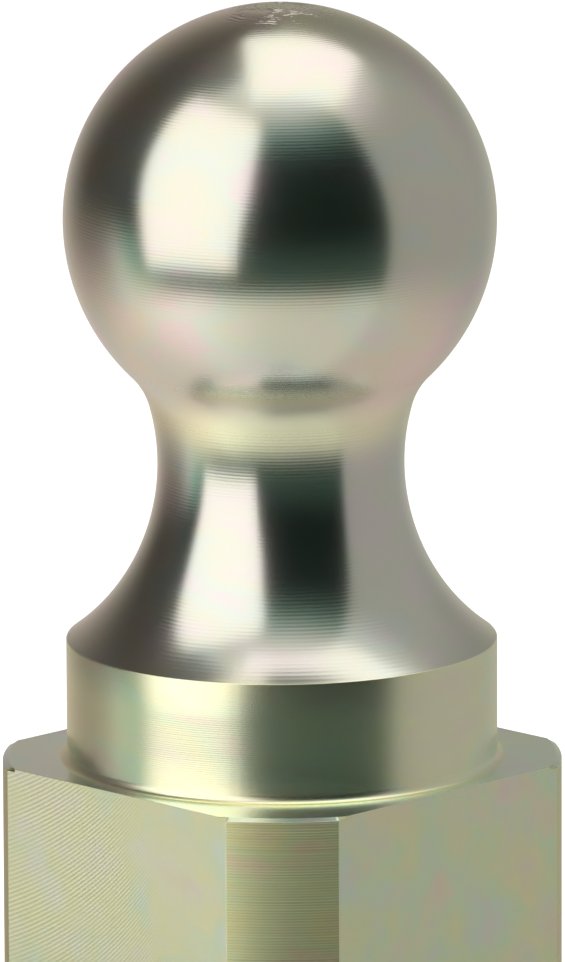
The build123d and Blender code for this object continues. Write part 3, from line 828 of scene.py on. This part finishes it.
def chain_nut():
    """A lock nut: a hexagon and, under it, a crimped collar that holds the nylon ring."""
    foot, collar_h, collar_r = CHAIN_NUT_Z, 4.0, 8.8
    hexagon = hex_nut(19, foot + collar_h, 9, CHAIN_ROD_D / 2)
    outline = [(collar_r, collar_h + 0.2), (collar_r, 1.6), (collar_r - 0.25, 0.8), (collar_r - 0.8, 0.25),
               (collar_r - 1.6, 0.05), (collar_r - 2.1, 0.25), (collar_r - 2.1, collar_h + 0.2)]
    collar = loft([circle(r, foot + z, 72) for r, z in outline[::-1]], loop=True)
    ring = [(6.75, 0.5), (6.45, 0.9), (6.4, collar_h), (6.8, collar_h), (6.8, 0.5)]
    nylon = loft([circle(r, foot + z, 72) for r, z in ring], loop=True)
    return [hexagon, collar], [nylon]


def socket_screw():
    """A knurled cap screw standing on z = 0, its shank below."""
    segments = 144
    angle = np.arange(segments) * 2 * math.pi / segments
    knurl = 0.16 * np.abs(np.sin(angle * 24))
    rings = [circle(r, z, segments) for r, z in ((2.4, -18), (3, -17.4), (3, 0), (4.7, 0))]
    rings += [circle(5 - knurl * depth, z, segments)
              for z, depth in ((0.3, 1), (2.5, 1), (4.9, 1), (5.25, 0.3))]
    socket = hex_radius(5, segments)
    rings += [circle(r, z, segments) for r, z in (
        (4.75, 5.6), (4.4, 6), (3.3, 6), (socket + 0.15, 5.85), (socket, 5.6), (socket, 3), (1.2, 2.3))]
    return loft(rings)


def block_screws():
    """Four screws, through each arm into the block."""
    verts, faces = socket_screw()
    x, y, z = verts.T
    return [(np.stack([side * (ARM_OUT + z), DETENT_Y + side * x, level + y], 1), faces)
            for level in (LATCH_Z - BLOCK_SCREW_Z, LATCH_Z + BLOCK_SCREW_Z) for side in (1, -1)]


def grip_nut():
    """A domed nut at the outer end of the grip."""
    seat, dome = GRIP_END_Y, GRIP_END_Y + 6.5
    rings = [circle(4.6, seat, 72)] + hex_sides(16, seat, 6.5)[:-1] + [circle(7.2, dome, 72)]
    rings += [circle(7 * math.cos(t), dome + 6.4 * math.sin(t), 72) for t in np.linspace(0.05, 1.5, 12)]
    return along_latch(loft(rings))


def detent_body():
    """The plunger's sleeve and its hexagon, with a shallow recess in its top."""
    rings = [circle(r, ARM_TOP + z, 72) for r, z in ((5, -8), (5, 0), (6.75, 0))]
    rings += hex_sides(14, ARM_TOP, 6)[1:-1]
    rings += [circle(r, ARM_TOP + z, 72) for r, z in ((6.4, 6), (3.6, 6), (3.4, 5.8), (3.3, 5.0))]
    return moved(loft(rings), (0, DETENT_Y, 0))


def u_bolt(x):
    """A bent rod with rolled threads on both legs."""
    radius, bend_r, bend_z, thread_top = CHAIN_ROD_D / 2, CHAIN_LEG_Y, CHAIN_BEND_Z, -30.0
    leg = np.linspace(thread_top, bend_z, 12)[:-1]
    rings = [((0, -bend_r, z), 0.0) for z in leg]
    rings += [((0, -bend_r * math.cos(turn), bend_z + bend_r * math.sin(turn)), turn)
              for turn in np.linspace(0, math.pi, 49)]
    rings += [((0, bend_r, z), math.pi) for z in leg[::-1]]
    angle = np.arange(36) * 2 * math.pi / 36
    skins = []
    for centre, turn in rings:
        section = [np.cos(angle), np.sin(angle) * math.cos(turn), -np.sin(angle) * math.sin(turn)]
        skins.append(centre + radius * np.stack(section, 1))
    verts, faces = loft(skins)
    parts = [(verts, faces[:-2])]
    thread = threaded_end(CHAIN_ROD_D, 1.95, CHAIN_FOOT_Z, thread_top)
    parts += [moved(thread, (0, y, 0)) for y in CHAIN_LEGS]
    return [moved(part, (x, 0, 0)) for part in parts]


# ---- springs -----------------------------------------------------------------------------------
def coil(outer_d, wire_d, length, turns):
    """A coil spring from z = 0 to z = length, its end turns closed and ground.

    Also gives each point's share of the active turns, 0 at z = 0 and 1 at z = length."""
    per_turn, around = 44, 14
    total = turns + 2
    t = np.linspace(0, total, total * per_turn + 1)
    active = step(np.minimum(t, total - t), 1.0, 0.5)
    gain = np.concatenate([[0], np.cumsum((active[1:] + active[:-1]) / 2 * np.diff(t))])
    shut = np.concatenate([[0], np.cumsum(1 - (active[1:] + active[:-1]) / 2) * (t[1] - t[0])])
    grind = 0.22 * wire_d
    pitch = (length - 2 * grind - wire_d * shut[-1]) / gain[-1]
    z = grind + wire_d * shut + pitch * gain
    mean_r, angle = (outer_d - wire_d) / 2, t * 2 * math.pi
    centre = np.stack([mean_r * np.cos(angle), mean_r * np.sin(angle), z], 1)
    tangent = np.gradient(centre, axis=0)
    tangent /= np.linalg.norm(tangent, axis=1)[:, None]
    radial = np.stack([np.cos(angle), np.sin(angle), 0 * angle], 1)
    rise = np.cross(radial, tangent)
    rings = []
    a = np.arange(around) * 2 * math.pi / around
    for i in range(len(t)):
        ring = centre[i] + wire_d / 2 * (np.cos(a)[:, None] * radial[i] - np.sin(a)[:, None] * rise[i])
        ring[:, 2] = np.clip(ring[:, 2], 0, length)
        rings.append(ring)
    return loft(rings), np.repeat(gain / gain[-1], around)


def spring_piece(name, parts, node, start, end):
    """A spring between the head and a moving body."""
    verts, faces = joined(parts)
    obj = new_object(name, verts * MM, faces, 50)
    obj.data.materials.append(materials["spring"])
    start, end = (tuple(c * MM for c in point) for point in (start, end))
    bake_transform(obj)
    stands_for(obj, node)


def build_springs():
    part, share = coil(*LATCH_SPRING)
    spring_piece("latch_coil", [along_latch(moved(part, (0, 0, ROD_NUT_Y)))], "latch_spring",
                 (0, WASHER_Y, LATCH_Z), (0, ROD_NUT_Y, LATCH_Z))
    part, share = coil(*CHAIN_SPRING)
    foot = -CHAIN_SPRING[2]
    for side, x in CHAIN_SIDES:
        legs = [moved(part, (x, y, foot)) for y in CHAIN_LEGS]
        spring_piece("chain_coils_" + side, legs, "chain_springs_" + side,
                     (x, 0, 0), (x, 0, foot))


# ---- welds -------------------------------------------------------------------------------------
def weld(roots, outs, ups, leg, loop=False, phase=0.0):
    """A rippled fillet bead along a joint; outs and ups point along the two joined faces."""
    pitch = 1.9
    roots, outs, ups = (np.asarray(v, float) for v in (roots, outs, ups))
    travel = np.concatenate([[0], np.cumsum(np.linalg.norm(np.diff(roots, axis=0), axis=1))])
    length = travel[-1] + (np.linalg.norm(roots[0] - roots[-1]) if loop else 0)
    if loop:
        pitch = length / round(length / pitch)
    t = np.linspace(0, math.pi / 2, 11)
    flat, tall = np.cos(t) ** 1.45, np.sin(t) ** 1.45
    rings = []
    for s, root, out, up in zip(travel, roots, outs, ups):
        ripple = np.abs(np.sin(math.pi * (s / pitch - 0.55 * np.sin(2 * t)))) - 0.6
        lap = 2 * math.pi * s / length
        drift = 0.025 * math.sin(lap * 7 + phase) + 0.02 * math.sin(lap * 17 + 2 * phase)
        size = leg * (0.98 + drift) * (1 + 0.085 * ripple * np.sin(2 * t) ** 0.5)
        if not loop:
            size = size * math.sqrt(min(1, 0.12 + min(s, length - s) / (0.7 * leg)))
        ring = root + (flat * size)[:, None] * out + (tall * size)[:, None] * up
        ring[0] -= 0.15 * up
        ring[-1] -= 0.15 * out
        rings.append(np.concatenate([ring, [root - 0.3 * out - 0.3 * up]]))
    return loft(rings, loop)


def straight_weld(start, end, out, up, leg, phase=0.0):
    start, end = np.array(start, float), np.array(end, float)
    count = max(2, round(np.linalg.norm(end - start) / 0.3))
    roots = [start + (end - start) * i / count for i in range(count + 1)]
    return weld(roots, [out] * len(roots), [up] * len(roots), leg, phase=phase)


def square_weld(z, up, leg, phase):
    """A bead all round the receiver tube."""
    half, corner = WALL_Y, TUBE_CORNER_R
    roots, outs = [], []
    for quarter in range(4):
        turn = Matrix.Rotation(quarter * math.pi / 2, 3, "Z")
        for y in np.arange(-(half - corner), half - corner, 0.32):
            roots.append(turn @ Vector((half, y, 0)))
            outs.append(turn @ Vector((1, 0, 0)))
        for a in np.arange(0, math.pi / 2, 0.02):
            out = Vector((math.cos(a), math.sin(a), 0))
            roots.append(turn @ (Vector((half - corner, half - corner, 0)) + out * corner))
            outs.append(turn @ out)
    roots = np.array(roots) + np.array([0, 0, z])
    return weld(roots, outs, [(0, 0, up)] * len(roots), leg, loop=True, phase=phase)


def boss_weld():
    """A bead round the guide boss, cut back where the arms pass it."""
    radius, reach = GUIDE_D / 2, ARM_IN - 0.05
    outs = [(math.cos(a), 0, math.sin(a)) for a in np.arange(0, 2 * math.pi, 0.018)]
    roots = [(radius * x, WALL_Y, LATCH_Z + radius * z) for x, _, z in outs]
    verts, faces = weld(roots, outs, [(0, 1, 0)] * len(roots), SMALL_LEG, loop=True, phase=0.8)
    verts[:, 0] = np.clip(verts[:, 0], -reach, reach)
    return verts, faces


def gusset_welds():
    """Beads along each gusset's foot and back, clear of the coped corner between them."""
    cope, parts = 9, []
    for side in (1, -1):
        wall = side * WALL_Y
        near, far = side * (WALL_Y + cope), side * (WALL_Y + cope + 30)
        for rib in (GUSSET_Y, -GUSSET_Y):
            for face in (1, -1):
                y, out, phase = rib + GUSSET_T / 2 * face, (0, face, 0), side + rib + 2.0 * face
                parts.append(straight_weld((near, y, PLATE_T), (far, y, PLATE_T), out, (0, 0, 1), SMALL_LEG,
                                           phase))
                parts.append(straight_weld((wall, y, PLATE_T + cope), (wall, y, 49), out, (side, 0, 0),
                                           SMALL_LEG, phase + 1))
    return parts


def arm_welds():
    ends = ARM_FOOT + 1, ARM_TOP - 1
    return [straight_weld(*((side * ARM_OUT, WALL_Y, z) for z in ends), (side, 0, 0), (0, 1, 0), ARM_LEG, side)
            for side in (1, -1)]


# ---- grip --------------------------------------------------------------------------------------
GRIP_R, GRIP_HALF, FINGER_X = 12.0, 37.0, 24.0    # the bar, half its length between ball ends, its waists


def bar_radius(x):
    """Radius of the T grip's bar at a distance from its middle; each side has a waist for a finger."""
    near = abs(x)
    if near > GRIP_HALF:
        return math.sqrt(max(GRIP_R**2 - (near - GRIP_HALF) ** 2, 0.01))
    waist = abs(near - FINGER_X)
    return min(GRIP_R, GRIP_R + 27 - math.sqrt(30**2 - waist**2)) if waist < 13 else GRIP_R


def build_grip():
    """Bar and hub melted into one moulding, then ribbed where the fingers go."""
    ball_end = GRIP_HALF + GRIP_R * np.cos(np.linspace(0.1, math.pi / 2, 9))
    stations = np.concatenate([-ball_end, np.arange(-36, 36.1, 0.8), ball_end[::-1]])
    verts, faces = loft([circle(bar_radius(x), x, 48) for x in stations])
    bar = np.stack([verts[:, 2], GRIP_BAR_Y + verts[:, 0], LATCH_Z + verts[:, 1]], 1), faces
    hub = along_latch(loft([circle(r, GRIP_BAR_Y + y, 64) for r, y in (
        (9.0, -14), (10, -13.2), (12.8, -4), (13, -2), (13, 8.6), (12.2, 9.8), (11, 10))]))
    grip = make_piece("t_grip", [bar, hub], "grip")
    melt = grip.modifiers.new("melt", "REMESH")
    melt.mode, melt.voxel_size = "VOXEL", 0.6 * MM
    soften = grip.modifiers.new("soften", "SMOOTH")
    soften.factor, soften.iterations = 0.5, 10
    apply_modifiers(grip)
    points = np.empty(len(grip.data.vertices) * 3)
    grip.data.vertices.foreach_get("co", points)
    points = points.reshape(-1, 3) / MM
    x, y, z = np.abs(points[:, 0]), points[:, 1] - GRIP_BAR_Y, points[:, 2] - LATCH_Z
    spread = np.hypot(y, z)
    rib_pitch, rib_depth = 3.2, 0.55
    ribbed = step(x, 17, 2) * step(-x, -32.5, 2) * step(spread, 6, 2)
    groove = (0.5 + 0.5 * np.cos(2 * math.pi * (x - FINGER_X) / rib_pitch)) ** 2
    shrink = 1 - rib_depth * ribbed * groove / np.maximum(spread, 1)
    points[:, 1], points[:, 2] = GRIP_BAR_Y + y * shrink, LATCH_Z + z * shrink
    grip.data.vertices.foreach_set("co", (points * MM).ravel())
    grip.data.update()
    smooth(grip, 50)
    return grip


def latch_arms():
    """Two flat bars with rounded ends and a shallow waist along their top edges."""
    round_r, waist_from, waist_to, waist_depth = 6, 58, 122, 4
    end = BLOCK_Y + BLOCK_L
    y, low, high = end - round_r, ARM_FOOT + round_r, ARM_TOP - round_r
    outline = [(WALL_Y, ARM_FOOT), *arc_points((y, low), (y, ARM_FOOT), (end, low)),
               *arc_points((y, high), (end, high), (y, ARM_TOP))]
    for y in range(waist_to, waist_from - 1, -1):
        outline.append((y, ARM_TOP - waist_depth * step(min(y - waist_from, waist_to - y), 6, 12)))
    outline.append((WALL_Y, ARM_TOP))
    section = np.array([(0, y, z) for y, z in outline])
    return [loft([section + (x, 0, 0) for x in pair]) for pair in ((ARM_IN, ARM_OUT), (-ARM_OUT, -ARM_IN))]


def build_fittings():
    arms = make_piece("latch_bars", latch_arms(), "galvanised")
    bevel(arms, 0.5, 2, 40)
    stands_for(arms, "latch_arms", "head")
    tube = [square_weld(PLATE_T, 1, TUBE_LEG, 0.3), square_weld(0, -1, TUBE_LEG, 1.9)]
    for name, node, parts in (
            ("tube_beads", "tube_weld", tube),
            ("seat_bead", "seat_weld", [square_weld(SEAT_TOP, 1, SEAT_LEG, 1.1)]),
            ("boss_bead", "boss_weld", [boss_weld()]),
            ("gusset_beads", "gusset_welds", gusset_welds()),
            ("arm_beads", "arm_welds", arm_welds())):
        stands_for(make_piece(name, parts, "weld", 60), node, "head")
    for name, node, body, parts in (
            ("cap_screws", "block_screws", "head", block_screws()),
            ("plunger_sleeve", "detent_body", "head", [detent_body()]),
            ("rod_lock_nut", "rod_nut", "latch", [along_latch(hex_nut(16, ROD_NUT_Y, 6, 5))]),
            ("dome_nut", "grip_nut", "latch", [grip_nut()])):
        stands_for(make_piece(name, parts, finish_of(node)), node, body)
    stands_for(build_grip(), "handle_grip", "latch")
    nut, nylon = chain_nut()
    for side, x in CHAIN_SIDES:
        body, bolt, nuts = "chain_" + side, "u_bolt_" + side, "chain_nuts_" + side
        stands_for(make_piece("bent_rod_" + side, u_bolt(x), finish_of(bolt)), bolt, body)
        steel, rings = ([moved(part, (x, y, 0)) for part in group for y in CHAIN_LEGS]
                        for group in (nut, nylon))
        stands_for(make_piece("lock_nuts_" + side, steel, finish_of(nuts), 35, rings, "nylon"), nuts, body)
    build_springs()


# ---- assembly ----------------------------------------------------------------------------------
materials = make_materials()
slot_of = {row["node"]: row["material_slot"] for row in frame["record"]["subparts"]}
for node, obj in frame["nodes"].items():
    obj.data.materials.clear()
    obj.data.materials.append(materials[finish_of(node)])
    smooth(obj)
    obj.visible_glossy = node == "receiver_tube"

ball = build_ball()
paint_regions(ball, materials)
bevel(ball, 0.12)
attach(ball, "ball_unit")
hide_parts("hitch_ball")
build_fittings()

build_studio(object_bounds()[0].z - 0.0005)
build_camera()
